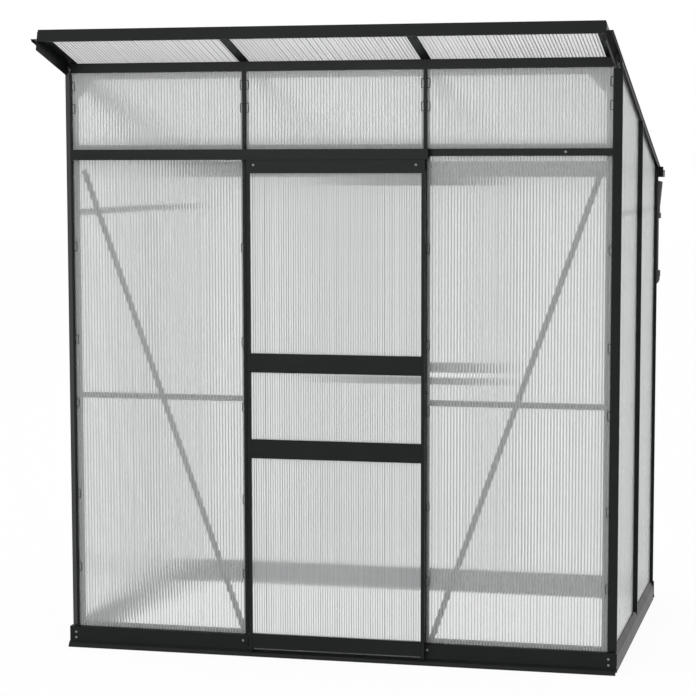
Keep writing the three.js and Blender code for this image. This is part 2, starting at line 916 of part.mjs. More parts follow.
// A door bar: a hollow box, slotted below, above or on both edges for the panes.
function doorBar(half, bottom, height, slotBelow, slotAbove) {
  const top = bottom + height;
  const outline = [[doorFront, bottom]];
  if (slotBelow) {
    outline.push([slotNear, bottom], [slotNear, bottom + slotDeep]);
    outline.push([slotFar, bottom + slotDeep], [slotFar, bottom]);
  }
  outline.push([-doorBack, bottom], [-doorBack, top]);
  if (slotAbove) {
    outline.push([slotFar, top], [slotFar, top - slotDeep]);
    outline.push([slotNear, top - slotDeep], [slotNear, top]);
  }
  outline.push([doorFront, top]);
  const low = bottom + wall + (slotBelow ? slotDeep : 0);
  const high = top - wall - (slotAbove ? slotDeep : 0);
  const hollow = rectangle(doorFront + wall, low, -doorBack - wall, high);
  return profile(outline, [hollow], alongY, alongZ, -half, half);
}

// The head has a lug and an axle for each roller.
function doorHead() {
  const bar = doorBar(doorHalf, headBottom, headHeight, true, false);
  const rollerFront = -rollerBack - rollerWide;
  const lugBack = -beadFront - slideGap;
  const lugHigh = axleHeight + lugTop;
  const lugs = [-rollerSpan, rollerSpan].map((x) =>
    block(x - lugWide / 2, lugBack - lugDeep, headTop - overrun, x + lugWide / 2, lugBack, lugHigh)
  );
  const axles = [-rollerSpan, rollerSpan].map((x) => {
    const length = -rollerBack - (lugBack - lugDeep / 2);
    const axle = new THREE.CylinderGeometry(axleRadius, axleRadius, length, pipeSides);
    axle.translate(x, lugBack - lugDeep / 2 + length / 2, axleHeight);
    return axle;
  });
  const collars = [-rollerSpan, rollerSpan].map((x) => {
    const length = rollerFront - seat - lugBack + lugDeep / 2;
    const collar = new THREE.CylinderGeometry(axleRadius + wall, axleRadius + wall, length, pipeSides);
    collar.translate(x, lugBack - lugDeep / 2 + length / 2, axleHeight);
    return collar;
  });
  return join(bar, [...lugs, ...axles, ...collars]);
}

function stile(side) {
  const outer = side * doorHalf;
  const at = (inset) => outer - side * inset;
  const outline = [
    [at(0), doorFront],
    [at(stileWidth), doorFront],
    [at(stileWidth), slotNear],
    [at(stileWidth - slotDeep), slotNear],
    [at(stileWidth - slotDeep), slotFar],
    [at(stileWidth), slotFar],
    [at(stileWidth), -doorBack],
    [at(0), -doorBack],
  ];
  return profile(outline, [], alongX, alongY, sillWaist + stileClear, headBottom - seat);
}

function doorPane(bottom, top) {
  const half = doorHalf - stileWidth + slotDeep - seat;
  const low = bottom - slotDeep + seat;
  const high = top + slotDeep - seat;
  const near = slotNear + seat;
  return profile(rectangle(-half, low, half, high), [], alongX, alongZ, near, near + paneThick);
}

// A roller turns on its axle and runs on the track's lip.
function roller() {
  const bore = axleRadius + runningGap;
  const ring = [
    [bore, 0],
    [rollerRadius, 0],
    [rollerRadius, rollerWide],
    [bore, rollerWide],
    [bore, 0],
  ];
  const geometry = new THREE.LatheGeometry(
    ring.map(([r, h]) => new THREE.Vector2(r, h)),
    pipeSides
  );
  return geometry.translate(0, -rollerBack - rollerWide, 0);
}

const barHalf = doorHalf - stileWidth - seat;
const bottomRailBottom = sillWaist + bottomRailClear;
const bottomRailTop = bottomRailBottom + bottomRailHeight;
piece(door, "door_head", black, doorHead());
piece(door, "door_left_stile", black, stile(-1));
piece(door, "door_right_stile", black, stile(1));
piece(door, "door_upper_bar", black, doorBar(barHalf, upperBarBottom, doorBarHeight, true, true));
piece(door, "door_lower_bar", black, doorBar(barHalf, lowerBarBottom, doorBarHeight, true, true));
piece(door, "door_bottom_rail", black, doorBar(barHalf, bottomRailBottom, bottomRailHeight, false, true));
piece(door, "door_pane_upper", sheet, doorPane(upperBarBottom + doorBarHeight, headBottom));
piece(door, "door_pane_middle", sheet, doorPane(lowerBarBottom + doorBarHeight, upperBarBottom));
piece(door, "door_pane_lower", sheet, doorPane(bottomRailTop, lowerBarBottom));
piece(door, "door_left_roller", nylon, roller()).position.set(-rollerSpan, 0, axleHeight);
piece(door, "door_right_roller", nylon, roller()).position.set(rollerSpan, 0, axleHeight);

// Rain water runs down a funnel, a pipe and a shoe under the gutter's right end.
const rainwater = new THREE.Group();
rainwater.position.set(gutterHalf - pipeInset, wallDepth + pipeOffset, 0);
house.add(rainwater);

const neckBottom = gutterBottom - neckDrop;
const funnelTop = neckBottom - funnelShoulder;
const funnelWaist = funnelTop - funnelHeight;
const collarTop = funnelWaist - waistHeight;
const collarBottom = collarTop - collarHeight;
const shoeTop = collarBottom - pipeRun;
const shoeCollarBottom = shoeTop - shoeCollarHeight;
const shoeHeel = shoeCollarBottom - shoeHeelDrop;

// A turned shape: its outline gives radius and height, and it closes on itself.
function turned(outline) {
  const points = [...outline, outline[0]].map(([r, z]) => new THREE.Vector2(r, z));
  return new THREE.LatheGeometry(points, pipeSides).rotateX(Math.PI / 2);
}

function downpipe() {
  const outer = [
    [neckRadius, gutterBottom - seat],
    [neckRadius, neckBottom],
    [funnelRadius, funnelTop],
    [funnelWaistRadius, funnelWaist],
    [funnelWaistRadius, collarTop],
    [collarRadius, collarTop],
    [collarRadius, collarBottom],
    [pipeRadius, collarBottom],
    [pipeRadius, shoeTop - pipeLap],
  ];
  const inner = [
    [pipeRadius - pipeWall, shoeTop - pipeLap],
    [pipeRadius - pipeWall, funnelWaist - pipeLap],
    [funnelWaistRadius - pipeWall, funnelWaist],
    [funnelRadius - pipeWall, funnelTop - pipeWall],
    [neckRadius - pipeWall, neckBottom],
    [neckRadius - pipeWall, gutterBottom - seat],
  ];
  return turned([...outer, ...inner].reverse());
}

// An upright round bar between two heights.
function upright(radius, bottom, top) {
  const bar = new THREE.CylinderGeometry(radius, radius, top - bottom, pipeSides);
  return bar.rotateX(Math.PI / 2).translate(0, 0, (top + bottom) / 2);
}

// The shoe takes the pipe's end in its collar and turns the water away from the wall.
function shoe() {
  const ledge = shoeTop - pipeLap - seat;
  const outletRadius = shoeSpoutRadius - pipeWall;
  const collar = upright(collarRadius, shoeCollarBottom, shoeTop);
  const neck = upright(shoeHeelRadius, shoeHeel, shoeCollarBottom + overrun);
  const heel = new THREE.SphereGeometry(shoeHeelRadius, pipeSides, pipeSides / 2).rotateX(Math.PI / 2);
  heel.translate(0, 0, shoeHeel);
  const spout = new THREE.CylinderGeometry(shoeSpoutRadius, shoeSpoutRadius, shoeSpoutReach, pipeSides);
  spout.translate(0, shoeSpoutReach / 2, shoeHeel);
  const drop = upright(pipeRadius - pipeWall, shoeHeel, ledge + overrun);
  const cup = upright(pipeRadius + seat, ledge, shoeTop + overrun);
  const outlet = new THREE.CylinderGeometry(outletRadius, outletRadius, shoeSpoutReach, pipeSides);
  outlet.translate(0, shoeSpoutReach / 2 + overrun, shoeHeel);
  return cut(join(collar, [neck, heel, spout]), [drop, cup, outlet]);
}

piece(rainwater, "downpipe", plastic, downpipe());
piece(rainwater, "downpipe_shoe", plastic, shoe());

export default house;
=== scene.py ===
import math

import bmesh
import bpy
from mathutils import Matrix, Vector


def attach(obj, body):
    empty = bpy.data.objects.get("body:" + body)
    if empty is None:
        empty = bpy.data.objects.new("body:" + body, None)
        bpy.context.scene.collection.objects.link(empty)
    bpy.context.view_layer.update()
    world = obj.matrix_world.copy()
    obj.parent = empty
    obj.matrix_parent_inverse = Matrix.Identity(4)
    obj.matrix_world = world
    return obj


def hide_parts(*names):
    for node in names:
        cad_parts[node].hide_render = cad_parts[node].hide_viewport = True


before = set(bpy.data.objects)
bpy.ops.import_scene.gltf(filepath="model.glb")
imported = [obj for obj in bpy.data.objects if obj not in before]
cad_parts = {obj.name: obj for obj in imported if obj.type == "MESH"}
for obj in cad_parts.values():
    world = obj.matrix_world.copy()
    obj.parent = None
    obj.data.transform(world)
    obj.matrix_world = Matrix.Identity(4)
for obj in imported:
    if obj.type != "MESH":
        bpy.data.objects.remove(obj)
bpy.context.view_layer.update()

bpy.ops.object.select_all(action="DESELECT")

# Camera: the greenhouse is seen from the front, from a little right of its middle and from
# head height, with a long lens. The shift sets it in the photograph's frame.
eye = Vector((1.7622, -7.13655, 1.7090))
turn_left = 0.2363  # radians
look_down = 0.1023
lean_right = 0.0017
lens_length = 111.66  # mm
film_width = 36  # mm
frame_shift = (-0.0014, 0.0514)

turn = Matrix.Rotation(turn_left, 4, "Z")
tip = Matrix.Rotation(math.pi / 2 - look_down, 4, "X")
lean = Matrix.Rotation(-lean_right, 4, "Z")
camera = bpy.data.objects.new("camera", bpy.data.cameras.new("camera"))
camera.data.lens = lens_length
camera.data.sensor_width = film_width
camera.data.shift_x, camera.data.shift_y = frame_shift
camera.matrix_world = Matrix.Translation(eye) @ turn @ tip @ lean
bpy.context.scene.collection.objects.link(camera)
bpy.context.scene.camera = camera
bpy.context.scene.view_settings.view_transform = "Standard"


# Studio: a white room. Soft light comes from all round, and one wide lamp stands high at the
# front left, so the bars' right flanks are darker than their faces.
def linear(code):
    """An sRGB colour written as hex, as linear red, green, blue and alpha."""
    parts = [int(code[i : i + 2], 16) / 255 for i in (0, 2, 4)]
    parts = [c / 12.92 if c <= 0.04045 else ((c + 0.055) / 1.055) ** 2.4 for c in parts]
    return (*parts, 1)


def node(material, kind, settings=None, links=None):
    """Adds a node, sets its properties and sockets, and links sockets of other nodes into it."""
    made = material.node_tree.nodes.new(kind)
    for key, value in (settings or {}).items():
        if isinstance(key, str) and hasattr(made, key):
            setattr(made, key, value)
        else:
            made.inputs[key].default_value = value
    for key, source in (links or {}).items():
        material.node_tree.links.new(source, made.inputs[key])
    return made


def bare_material(name):
    """A material with an empty node tree."""
    material = bpy.data.materials.new(name)
    material.use_nodes = True
    material.node_tree.nodes.clear()
    return material


def sight_rays(material):
    """1 for rays that the eye sees, straight, mirrored or through a pane, and 0 for the rest."""
    ray = node(material, "ShaderNodeLightPath")
    seen = ray.outputs["Is Camera Ray"]
    for kind in ("Is Glossy Ray", "Is Transmission Ray"):
        seen = node(
            material,
            "ShaderNodeMath",
            {"operation": "MAXIMUM"},
            {0: seen, 1: ray.outputs[kind]},
        ).outputs[0]
    return seen


world_light = 0.95
floor_glow = 0.93
floor_albedo = "fafafa"
floor_half = 40
floor_height = -0.0005
lamp_place = Vector((-1.6, -6.6, 3.4))
lamp_aim = Vector((0, 0.3, 1.2))
lamp_size = 3.2
lamp_watts = 140

world = bpy.data.worlds.new("white room")
world.use_nodes = True
world.node_tree.nodes.clear()
strength = node(
    world,
    "ShaderNodeMapRange",
    {"To Min": world_light, "To Max": 1.0},
    {"Value": sight_rays(world)},
)
sky = node(
    world,
    "ShaderNodeBackground",
    {"Color": linear("ffffff")},
    {"Strength": strength.outputs[0]},
)
node(world, "ShaderNodeOutputWorld", {}, {"Surface": sky.outputs[0]})
bpy.context.scene.world = world

lamp = bpy.data.objects.new("front lamp", bpy.data.lights.new("front lamp", "AREA"))
lamp.data.energy = lamp_watts
lamp.data.size = lamp_size
aimed = (lamp_aim - lamp_place).to_track_quat("-Z", "Y").to_matrix().to_4x4()
lamp.matrix_world = Matrix.Translation(lamp_place) @ aimed
bpy.context.scene.collection.objects.link(lamp)

bpy.ops.mesh.primitive_plane_add(size=2 * floor_half, location=(0, 0, floor_height))
floor = bpy.context.object
floor.name = "floor"
white_floor = bare_material("white studio floor")
glow = node(
    white_floor,
    "ShaderNodeMath",
    {"operation": "MULTIPLY", 1: floor_glow},
    {0: sight_rays(white_floor)},
)
paint = node(white_floor, "ShaderNodeBsdfDiffuse", {"Color": linear(floor_albedo)})
light = node(white_floor, "ShaderNodeEmission", {"Color": linear("ffffff"), "Strength": 1.0})
mixed = node(
    white_floor,
    "ShaderNodeMixShader",
    {},
    {0: glow.outputs[0], 1: paint.outputs[0], 2: light.outputs[0]},
)
node(white_floor, "ShaderNodeOutputMaterial", {}, {"Surface": mixed.outputs[0]})
floor.data.materials.append(white_floor)
bpy.ops.object.select_all(action="DESELECT")

# Frame: sills, corner posts, glazing bars, eaves, rafters, rails and braces are extruded
# aluminium, cut to length and powder-coated black. The coat is satin, with a fine orange-peel
# skin that softens reflections and rounds every edge a little.
coat_colour = "191b1b"
coat_shade = "111212"
coat_worn = "262929"
coat_roughness = (0.32, 0.44)
coat_specular = 0.115
coat_ior = 1.5
peel_grain = 1.1  # mm, coarser than a real coat's 0.6 mm so that it still shows
peel_height = 0.0002
peel_strength = 0.12
mottle_grain = 90  # mm
speck_range = (0.62, 0.8)
speck_share = 0.5
edge_round = 0.0004
sharp_edge = math.radians(35)
weld_distance = 0.00001


def powder_coat(name, colour, shade, worn):
    """Satin powder coat: even, slightly mottled colour, fine peel in the gloss and the bump."""
    coat = bare_material(name)
    place = node(coat, "ShaderNodeTexCoord").outputs["Object"]
    mottle = node(
        coat,
        "ShaderNodeTexNoise",
        {"Scale": 1000 / mottle_grain, "Detail": 4.0, "Roughness": 0.6},
        {"Vector": place},
    )
    peel = node(
        coat,
        "ShaderNodeTexNoise",
        {"Scale": 1000 / peel_grain, "Detail": 2.0},
        {"Vector": place},
    )
    tone = node(
        coat,
        "ShaderNodeMix",
        {"data_type": "RGBA", 6: linear(shade), 7: linear(colour)},
        {0: mottle.outputs["Fac"]},
    )
    specks = node(
        coat,
        "ShaderNodeMapRange",
        {"From Min": speck_range[0], "From Max": speck_range[1], "To Max": speck_share},
        {"Value": peel.outputs["Fac"]},
    )
    speckled = node(
        coat,
        "ShaderNodeMix",
        {"data_type": "RGBA", 7: linear(worn)},
        {0: specks.outputs[0], 6: tone.outputs[2]},
    )
    gloss = node(
        coat,
        "ShaderNodeMapRange",
        {"To Min": coat_roughness[0], "To Max": coat_roughness[1]},
        {"Value": mottle.outputs["Fac"]},
    )
    bump = node(
        coat,
        "ShaderNodeBump",
        {"Strength": peel_strength, "Distance": peel_height},
        {"Height": peel.outputs["Fac"]},
    )
    skin = node(
        coat,
        "ShaderNodeBsdfPrincipled",
        {"Specular IOR Level": coat_specular, "IOR": coat_ior},
        {"Base Color": speckled.outputs[2], "Roughness": gloss.outputs[0], "Normal": bump.outputs[0]},
    )
    node(coat, "ShaderNodeOutputMaterial", {}, {"Surface": skin.outputs[0]})
    return coat


def finish_piece(name, material, rounding):
    """Gives a piece of the frame its material, and rounds its sharp edges with modifiers."""
    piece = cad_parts[name]
    piece.data.materials.clear()
    piece.data.materials.append(material)
    weld = piece.modifiers.new("weld", "WELD")
    weld.merge_threshold = weld_distance
    bevel = piece.modifiers.new("rounded edges", "BEVEL")
    bevel.width = rounding
    bevel.segments = 1
    bevel.limit_method = "ANGLE"
    bevel.angle_limit = sharp_edge


satin_black = powder_coat("powder-coated aluminium", coat_colour, coat_shade, coat_worn)
sheet_nodes = [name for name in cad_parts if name.startswith(("pane_", "door_pane_"))]
roller_nodes = ["door_left_roller", "door_right_roller"]
rain_nodes = ["downpipe", "downpipe_shoe"]
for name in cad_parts:
    if name not in sheet_nodes + roller_nodes + rain_nodes:
        finish_piece(name, satin_black, edge_round)

# Panes: twin-wall polycarbonate sheet, extruded with a rib every 10.6 mm and cut to size. Its
# skins bulge between the ribs, so each flute is a weak lens: upright lines behind it spread out
# and level ones stay. The door has a closer-ribbed sheet, and the roof a wider-ribbed one.
flute_pitch = 0.0106
close_flute_pitch = 0.0084
roof_flute_pitch = 0.0114
rib_thick = 0.003
crown_thick = 0.0039
flute_steps = 10
line_share = 0.2  # points closer than this share of a step lie on the same line of the flute
corner_reach = 0.001  # points closer than this to a pane's edge are its corners
flute_smooth = math.radians(10)
rib_reach = 0.8  # share of the swell from rib to crown over which the rib's milk fades
streak_grain = 13  # mm
streak_range = (0.25, 0.75)
# Bands along the flutes where the sheet is clearer and paler: their spacing across the sheet, and where
# they begin on the wave
clear_line_pitch = 23  # mm
clear_line_from = 0.75
wave_turns = math.pi / 10  # a wave texture repeats every pi / 10 at scale 1
sheet_ior = 1.45
shadow_tint = "f8f9f9"


def milky_sheet(name, pale, dense, crown_milk, rib_milk, streaks, through_share, clear_lines=0):
    """Clear polycarbonate with a milky skin, densest at the ribs and streaked along them.

    Clear lines are bands along the flutes where the sheet is clearer and paler.
    """
    sheet = bare_material(name)
    crown = node(sheet, "ShaderNodeAttribute", {"attribute_name": "crown"}).outputs["Fac"]
    across = node(sheet, "ShaderNodeAttribute", {"attribute_name": "across"}).outputs["Fac"]
    rib = node(
        sheet,
        "ShaderNodeMapRange",
        {"From Max": rib_reach, "To Min": 1.0, "To Max": 0.0},
        {"Value": crown},
    )
    streak = node(
        sheet,
        "ShaderNodeTexNoise",
        {"noise_dimensions": "1D", "Scale": 1000 / streak_grain, "Detail": 2.0},
        {"W": across},
    )
    streak = node(
        sheet,
        "ShaderNodeMapRange",
        {"From Min": streak_range[0], "From Max": streak_range[1], "To Min": -streaks, "To Max": streaks},
        {"Value": streak.outputs["Fac"]},
    )
    line_place = node(sheet, "ShaderNodeCombineXYZ", {}, {0: across})
    line = node(
        sheet,
        "ShaderNodeTexWave",
        {"Scale": 1000 / clear_line_pitch * wave_turns},
        {"Vector": line_place.outputs[0]},
    )
    line = node(
        sheet,
        "ShaderNodeMapRange",
        {"From Min": clear_line_from, "To Max": clear_lines},
        {"Value": line.outputs["Fac"]},
    )
    uneven = node(
        sheet,
        "ShaderNodeMath",
        {"operation": "SUBTRACT"},
        {0: streak.outputs[0], 1: line.outputs[0]},
    )
    density = node(
        sheet,
        "ShaderNodeMath",
        {"operation": "ADD", "use_clamp": True},
        {0: rib.outputs[0], 1: uneven.outputs[0]},
    )
    milk = node(
        sheet,
        "ShaderNodeMapRange",
        {"To Min": crown_milk, "To Max": rib_milk},
        {"Value": density.outputs[0]},
    )
    tint = node(
        sheet,
        "ShaderNodeMix",
        {"data_type": "RGBA", 6: linear(pale), 7: linear(dense)},
        {0: density.outputs[0]},
    )
    bright = node(sheet, "ShaderNodeBsdfDiffuse", {}, {"Color": tint.outputs[2]})
    through = node(sheet, "ShaderNodeBsdfTranslucent", {}, {"Color": tint.outputs[2]})
    milky = node(
        sheet,
        "ShaderNodeMixShader",
        {0: through_share},
        {1: bright.outputs[0], 2: through.outputs[0]},
    )
    clear = node(
        sheet,
        "ShaderNodeBsdfPrincipled",
        {"Base Color": linear("ffffff"), "Roughness": 0.0, "IOR": sheet_ior, "Transmission Weight": 1.0},
    )
    body = node(
        sheet,
        "ShaderNodeMixShader",
        {},
        {0: milk.outputs[0], 1: clear.outputs[0], 2: milky.outputs[0]},
    )
    ray = node(sheet, "ShaderNodeLightPath")
    passing = node(sheet, "ShaderNodeBsdfTransparent", {"Color": linear(shadow_tint)})
    surface = node(
        sheet,
        "ShaderNodeMixShader",
        {},
        {0: ray.outputs["Is Shadow Ray"], 1: body.outputs[0], 2: passing.outputs[0]},
    )
    node(sheet, "ShaderNodeOutputMaterial", {}, {"Surface": surface.outputs[0]})
    return sheet


def select_points(mesh_object, wanted):
    """In edit mode, selects only the points that a test picks."""
    points = bmesh.from_edit_mesh(mesh_object.data)
    for vert in points.verts:
        vert.select_set(wanted(vert.co))
    points.select_flush(True)
    bmesh.update_edit_mesh(mesh_object.data)


def extents(points, direction):
    """The lowest and highest place of some points along a direction."""
    along = [p.dot(direction) for p in points]
    return min(along), max(along)


def cut_off(piece, place, normal):
    """Cuts away what lies beyond a plane and closes the cut."""
    bpy.context.view_layer.objects.active = piece
    bpy.ops.object.mode_set(mode="EDIT")
    bpy.ops.mesh.select_all(action="SELECT")
    bpy.ops.mesh.bisect(plane_co=place, plane_no=normal, use_fill=True, clear_outer=True)
    bpy.ops.object.mode_set(mode="OBJECT")


def one_flute(name, pitch):
    """The section of one flute, lying flat: a flat strip whose sides swell from rib to crown."""
    bpy.ops.mesh.primitive_grid_add(
        x_subdivisions=flute_steps, y_subdivisions=1, size=1, rotation=(math.pi / 2, 0, 0)
    )
    flute = bpy.context.object
    flute.name = name
    flute.scale = (pitch, rib_thick, 1)
    bpy.ops.object.transform_apply(location=False, rotation=True, scale=True)
    bpy.ops.object.mode_set(mode="EDIT")
    for step in range(1, flute_steps):
        place = (step / flute_steps - 0.5) * pitch
        bulge = 1 + (crown_thick / rib_thick - 1) * (1 - (2 * step / flute_steps - 1) ** 2)
        select_points(flute, lambda co: abs(co.x - place) < line_share * pitch / flute_steps)
        bpy.ops.transform.resize(value=(1, 1, bulge))
    bpy.ops.object.mode_set(mode="OBJECT")
    return flute


def sheet_of_flutes(name, pitch, count, length):
    """A plain sheet, lying flat with its first flute at the origin and its flutes along Y."""
    sheet = one_flute(name, pitch)
    row = sheet.modifiers.new("flutes", "ARRAY")
    row.count = count
    row.use_relative_offset = False
    row.use_constant_offset = True
    row.constant_offset_displace = (pitch, 0, 0)
    row.use_merge_vertices = True
    row.merge_threshold = weld_distance
    bpy.ops.object.modifier_apply(modifier=row.name)
    bpy.ops.object.mode_set(mode="EDIT")
    bpy.ops.mesh.select_all(action="SELECT")
    bpy.ops.mesh.extrude_region_move(TRANSFORM_OT_translate={"value": (0, length, 0)})
    bpy.ops.object.mode_set(mode="OBJECT")
    return sheet


def split_at(pane, slit_low, slit_high):
    """Takes a level strip out of a pane, so that it becomes two sheets in one object."""
    bpy.ops.object.duplicate()
    upper = bpy.context.object
    cut_off(upper, (0, slit_high, 0), (0, -1, 0))
    upper.select_set(False)
    pane.select_set(True)
    cut_off(pane, (0, slit_low, 0), (0, 1, 0))
    upper.select_set(True)
    bpy.ops.object.join()


def mark_flutes(pane, left):
    """Stores where each point lies between rib and crown, and its place across the flutes."""
    crown = pane.data.attributes.new("crown", "FLOAT", "POINT")
    swell = [(2 * abs(v.co.z) - rib_thick) / (crown_thick - rib_thick) for v in pane.data.vertices]
    crown.data.foreach_set("value", swell)
    place = pane.data.attributes.new("across", "FLOAT", "POINT")
    place.data.foreach_set("value", [v.co.x + left for v in pane.data.vertices])


def fluted_sheet(node_name, pane_pitch, across, run, outward, material, body, slit=None):
    """A fluted pane in the place of a flat one, with its top raked or a slit cut as needed.

    Its flutes lie side by side in one direction, run along the second, and face the third.
    """
    points = [v.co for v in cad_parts[node_name].data.vertices]
    left, right = extents(points, across)
    low, high = extents(points, run)
    back, front = extents(points, outward)
    count = round((right - left) / pane_pitch)
    pitch = (right - left) / count
    pane = sheet_of_flutes(node_name.replace("pane", "fluted_pane"), pitch, count, high - low)
    corners = []
    for edge in (left, right):
        beside = [p.dot(run) for p in points if abs(p.dot(across) - edge) < corner_reach]
        corners.append(max(beside) - low)
    if abs(corners[1] - corners[0]) > corner_reach:
        rake = Vector((corners[0] - corners[1], right - left, 0)).normalized()
        cut_off(pane, (-pitch / 2, corners[0], 0), rake)
    if slit:
        split_at(pane, slit[0] - low, slit[1] - low)
    bpy.ops.object.mode_set(mode="EDIT")
    bpy.ops.mesh.select_all(action="SELECT")
    bpy.ops.mesh.normals_make_consistent(inside=False)
    bpy.ops.object.mode_set(mode="OBJECT")
    mark_flutes(pane, left)
    turned = Matrix((across, run, outward)).transposed().to_4x4()
    corner = (left + pitch / 2) * across + low * run + (back + front) / 2 * outward
    pane.matrix_world = Matrix.Translation(corner) @ turned
    bpy.ops.object.transform_apply(location=True, rotation=True, scale=True)
    bpy.ops.object.shade_smooth_by_angle(angle=flute_smooth)
    pane.data.materials.append(material)
    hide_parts(node_name)
    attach(pane, body)
    pane.select_set(False)


# Each group of panes has its own copy of one twin-wall polycarbonate. The copies' pale and dense tints are
# painted paler or darker to match how each group is lit, so the differences between them are painted light
# and shade. This is the front wall's copy.
front_sheet = milky_sheet(
    "extruded twin-wall polycarbonate",
    pale="e6e8e8",
    dense="b4b6b6",
    crown_milk=0.26,
    rib_milk=0.72,
    streaks=0.12,
    through_share=0.42,
)
# The top row's copy has paler crowns and darker ribs than the front's: painted light and shade for the top
# row.
top_sheet = milky_sheet(
    "twin-wall polycarbonate of the top row",
    pale="eaecec",
    dense="aeb0b0",
    crown_milk=0.37,
    rib_milk=0.78,
    streaks=0.12,
    through_share=0.45,
)
# The back and left walls share a copy painted paler and whiter than the front's: painted light for walls
# seen from inside against the bright room behind them.
back_sheet = milky_sheet(
    "twin-wall polycarbonate painted paler for backlit walls",
    pale="ffffff",
    dense="f4f6f6",
    crown_milk=0.35,
    rib_milk=0.6,
    streaks=0.1,
    through_share=0.9,
)
# The door's copy has paler crowns and much darker ribs: painted shade for the strong stripes that the back
# wall's sheet makes behind the door.
door_sheet = milky_sheet(
    "close-ribbed twin-wall polycarbonate with painted rib shade",
    pale="fcffff",
    dense="4a4d4d",
    crown_milk=0.27,
    rib_milk=0.95,
    streaks=0.12,
    through_share=0.45,
)
# The right wall's copy is painted darker than the other walls' copies: painted shade for this wall.
side_sheet = milky_sheet(
    "twin-wall polycarbonate painted darker for the right wall",
    pale="d8dada",
    dense="b6b8b8",
    crown_milk=0.3,
    rib_milk=0.7,
    streaks=0.2,
    through_share=0.4,
)
# The roof's copy has white crowns: painted light for the underside, lit from above through the sheet.
roof_sheet = milky_sheet(
    "twin-wall polycarbonate painted pale, with clearer bands",
    pale="ffffff",
    dense="6c6e6e",
    crown_milk=0.5,
    rib_milk=0.92,
    streaks=0.15,
    through_share=0.8,
    clear_lines=0.35,
)

right_way = Vector((1, 0, 0))
back_way = Vector((0, 1, 0))
up_way = Vector((0, 0, 1))
roof_pitch = math.radians(14.886)
down_slope = Vector((0, math.cos(roof_pitch), -math.sin(roof_pitch)))
off_slope = Vector((0, math.sin(roof_pitch), math.cos(roof_pitch)))
front_axes = (right_way, up_way, -back_way)
side_axes = (back_way, up_way, right_way)
roof_axes = (right_way, down_slope, off_slope)
window_slit = (0.857, 0.877)  # heights of the air slit in the back wall's window
for name in sheet_nodes:
    if name.startswith("pane_roof"):
        fluted_sheet(name, roof_flute_pitch, *roof_axes, roof_sheet, "house")
    elif name.startswith("pane_left"):
        fluted_sheet(name, flute_pitch, *side_axes, back_sheet, "house")
    elif name.startswith("pane_right"):
        fluted_sheet(name, flute_pitch, *side_axes, side_sheet, "house")
    elif name.startswith("pane_top"):
        fluted_sheet(name, flute_pitch, *front_axes, top_sheet, "house")
    elif name.startswith("door"):
        fluted_sheet(name, close_flute_pitch, *front_axes, door_sheet, "door")
    elif name == "pane_back_middle":
        fluted_sheet(name, flute_pitch, *front_axes, back_sheet, "house", window_slit)
    elif name.startswith("pane_back"):
        fluted_sheet(name, flute_pitch, *front_axes, back_sheet, "house")
    else:
        fluted_sheet(name, flute_pitch, *front_axes, front_sheet, "house")

# Glazing clips: springs bent from wire press each pane against its bar's inner flange. Their
# narrow loops come out from under the caps and lie on the pane.
wire_radius = 0.0012
wire_sides = 8
clip_height = 0.03
clip_reach = 0.0095
clip_bend = 0.003
bend_steps = 4
clip_depth = 0.0112  # behind the wall's face
low_clips = (0.285, 0.545, 0.868, 1.093, 1.418)  # heights, as are the next two
top_clips = (1.894, 1.971)
side_clips = (*low_clips, 1.62)
house_half = 0.968
house_deep = 1.292
origin_in = 0.02745  # from the posts' face back to the frame's origin
post_cap = 0.029
bar_cap = 0.0055
bar_place = 0.3148
front_bar_shift = -0.002
wire_grain = 2.5  # mm, coarser than real drawing marks so that it still shows
round_smooth = math.radians(40)


def grained_material(name, dark, pale, grain, roughness, settings, stretch=(1, 1, 1)):
    """A surface whose colour and gloss follow one fine grain, given in millimetres."""
    stuff = bare_material(name)
    place = node(stuff, "ShaderNodeTexCoord").outputs["Object"]
    place = node(stuff, "ShaderNodeMapping", {"Scale": stretch}, {"Vector": place})
    speckle = node(
        stuff,
        "ShaderNodeTexNoise",
        {"Scale": 1000 / grain, "Detail": 3.0},
        {"Vector": place.outputs[0]},
    )
    shade = node(
        stuff,
        "ShaderNodeMix",
        {"data_type": "RGBA", 6: linear(dark), 7: linear(pale)},
        {0: speckle.outputs["Fac"]},
    )
    dull = node(
        stuff,
        "ShaderNodeMapRange",
        {"To Min": roughness[0], "To Max": roughness[1]},
        {"Value": speckle.outputs["Fac"]},
    )
    skin = node(
        stuff,
        "ShaderNodeBsdfPrincipled",
        settings,
        {"Base Color": shade.outputs[2], "Roughness": dull.outputs[0]},
    )
    node(stuff, "ShaderNodeOutputMaterial", {}, {"Surface": skin.outputs[0]})
    return stuff


def copied(piece, placing):
    """A copy of a finished piece with its own mesh, moved by a matrix."""
    twin = piece.copy()
    twin.data = piece.data.copy()
    twin.data.transform(placing)
    bpy.context.scene.collection.objects.link(twin)
    return twin


def joined(pieces, name, material, body):
    """Joins like pieces into one object with a material, riding on a body."""
    for piece in pieces:
        piece.select_set(True)
    bpy.context.view_layer.objects.active = pieces[0]
    bpy.ops.object.join()
    whole = bpy.context.object
    whole.name = name
    whole.data.materials.clear()
    whole.data.materials.append(material)
    bpy.ops.object.shade_smooth_by_angle(angle=round_smooth)
    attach(whole, body)
    whole.select_set(False)


spring_wire = grained_material(
    "blued spring steel wire",
    dark="1f2122",
    pale="303334",
    grain=wire_grain,
    roughness=(0.28, 0.45),
    settings={"Metallic": 0.5},
)

